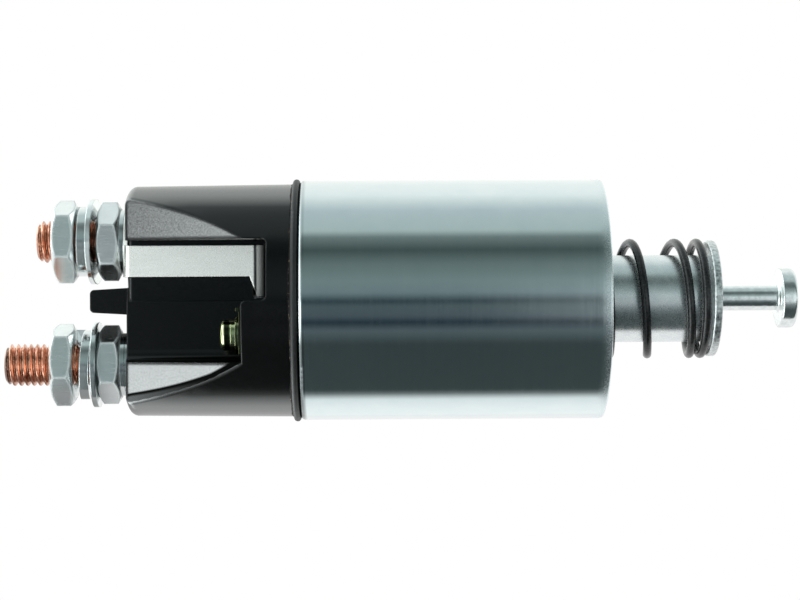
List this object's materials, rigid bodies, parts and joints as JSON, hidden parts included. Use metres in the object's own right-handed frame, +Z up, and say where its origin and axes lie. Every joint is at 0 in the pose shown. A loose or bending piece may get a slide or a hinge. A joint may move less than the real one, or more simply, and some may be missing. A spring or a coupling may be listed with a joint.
{
  "type": "starter solenoid",
  "caption": "Cylindrical starter solenoid with threaded power studs and a switch terminal on a black cap, and a spring-returned plunger with a headed hook rod.",
  "frame": {"origin": "centre of the can's front face, which is bolted to the starter", "axes": "+X along the plunger's axis, outward from the can; +Z up, towards the motor stud; +Y away from the cap's facet"},
  "size_m": [0.1847, 0.0566, 0.0566],
  "materials": {
    "zinc_shell": "zinc plated, faint brushed grain",
    "zinc_hardware": "bright zinc plated",
    "plunger_zinc": "zinc plated, turned",
    "rod_zinc": "zinc plated",
    "core_steel": "plain steel, turned",
    "spring_wire": "black oxide",
    "tinned_strip": "tinned, fine matte grain",
    "yellow_zinc": "yellow chromate",
    "copper": "plain copper",
    "brass": "plain brass",
    "winding_wire": "enamelled copper wire",
    "black_moulding": "glossy black phenolic",
    "bobbin_plastic": "natural nylon",
    "wrap_paper": "insulating tape",
    "insulator": "brown phenolic",
    "rubber": "black rubber"
  },
  "bodies": {
    "housing": {"can": "zinc_shell", "guide_sleeve": "brass", "bobbin": "bobbin_plastic", "pull_in_winding": "winding_wire", "hold_in_winding": "winding_wire", "coil_wrap": "wrap_paper", "pole_plate": "core_steel", "fixed_core": "core_steel", "pull_in_lead": "winding_wire", "switch_lead": "winding_wire", "ground_lead": "winding_wire", "lead_bushings": "insulator", "gasket": "rubber", "cap": "black_moulding", "motor_stud": "copper", "battery_stud": "copper", "stud_seals": "rubber", "link_strip": "tinned_strip", "base_washers": "zinc_hardware", "inner_nuts": "zinc_hardware", "large_washers": "zinc_hardware", "lock_washers": "zinc_hardware", "outer_nuts": "zinc_hardware", "switch_plate": "yellow_zinc", "switch_washer": "yellow_zinc", "switch_lock_washer": "yellow_zinc", "switch_screw": "yellow_zinc", "switch_insert": "brass", "return_spring": "spring_wire", "contact_return_spring": "spring_wire"},
    "plunger": {"plunger": "plunger_zinc", "spring_seat": "plunger_zinc", "guide_bush": "brass", "meshing_spring": "spring_wire"},
    "hook_rod": {"hook_rod": "rod_zinc", "rod_collar": "core_steel"},
    "contact_shaft": {"contact_shaft": "core_steel", "shaft_sleeve": "core_steel", "shaft_clip": "core_steel", "pressure_spring": "spring_wire"},
    "contact_bridge": {"contact_bridge": "copper", "bridge_insulator": "insulator", "insulating_washer": "insulator"}
  },
  "joints": [
    {"name": "plunger_slide", "type": "slide", "parent": "housing", "child": "plunger", "axis": [-1, 0, 0], "range_m": [0, 0.012], "stiffness_N_per_m": 2500, "deforming": ["return_spring"]},
    {"name": "hook_rod_slide", "type": "slide", "parent": "plunger", "child": "hook_rod", "axis": [1, 0, 0], "range_m": [0, 0.005], "stiffness_N_per_m": 5000, "springref_m": -0.004, "deforming": ["meshing_spring"]},
    {"name": "contact_shaft_slide", "type": "slide", "parent": "housing", "child": "contact_shaft", "axis": [-1, 0, 0], "range_m": [0, 0.004], "stiffness_N_per_m": 600, "deforming": ["contact_return_spring"]},
    {"name": "contact_bridge_slide", "type": "slide", "parent": "contact_shaft", "child": "contact_bridge", "axis": [1, 0, 0], "range_m": [0, 0.001], "stiffness_N_per_m": 2000, "deforming": ["pressure_spring"]}
  ],
  "couplings": [
    {"joint": "contact_shaft_slide", "follows": "plunger_slide", "ratio": 0.33333},
    {"joint": "contact_bridge_slide", "follows": "plunger_slide", "ratio": 0.08333}
  ]
}
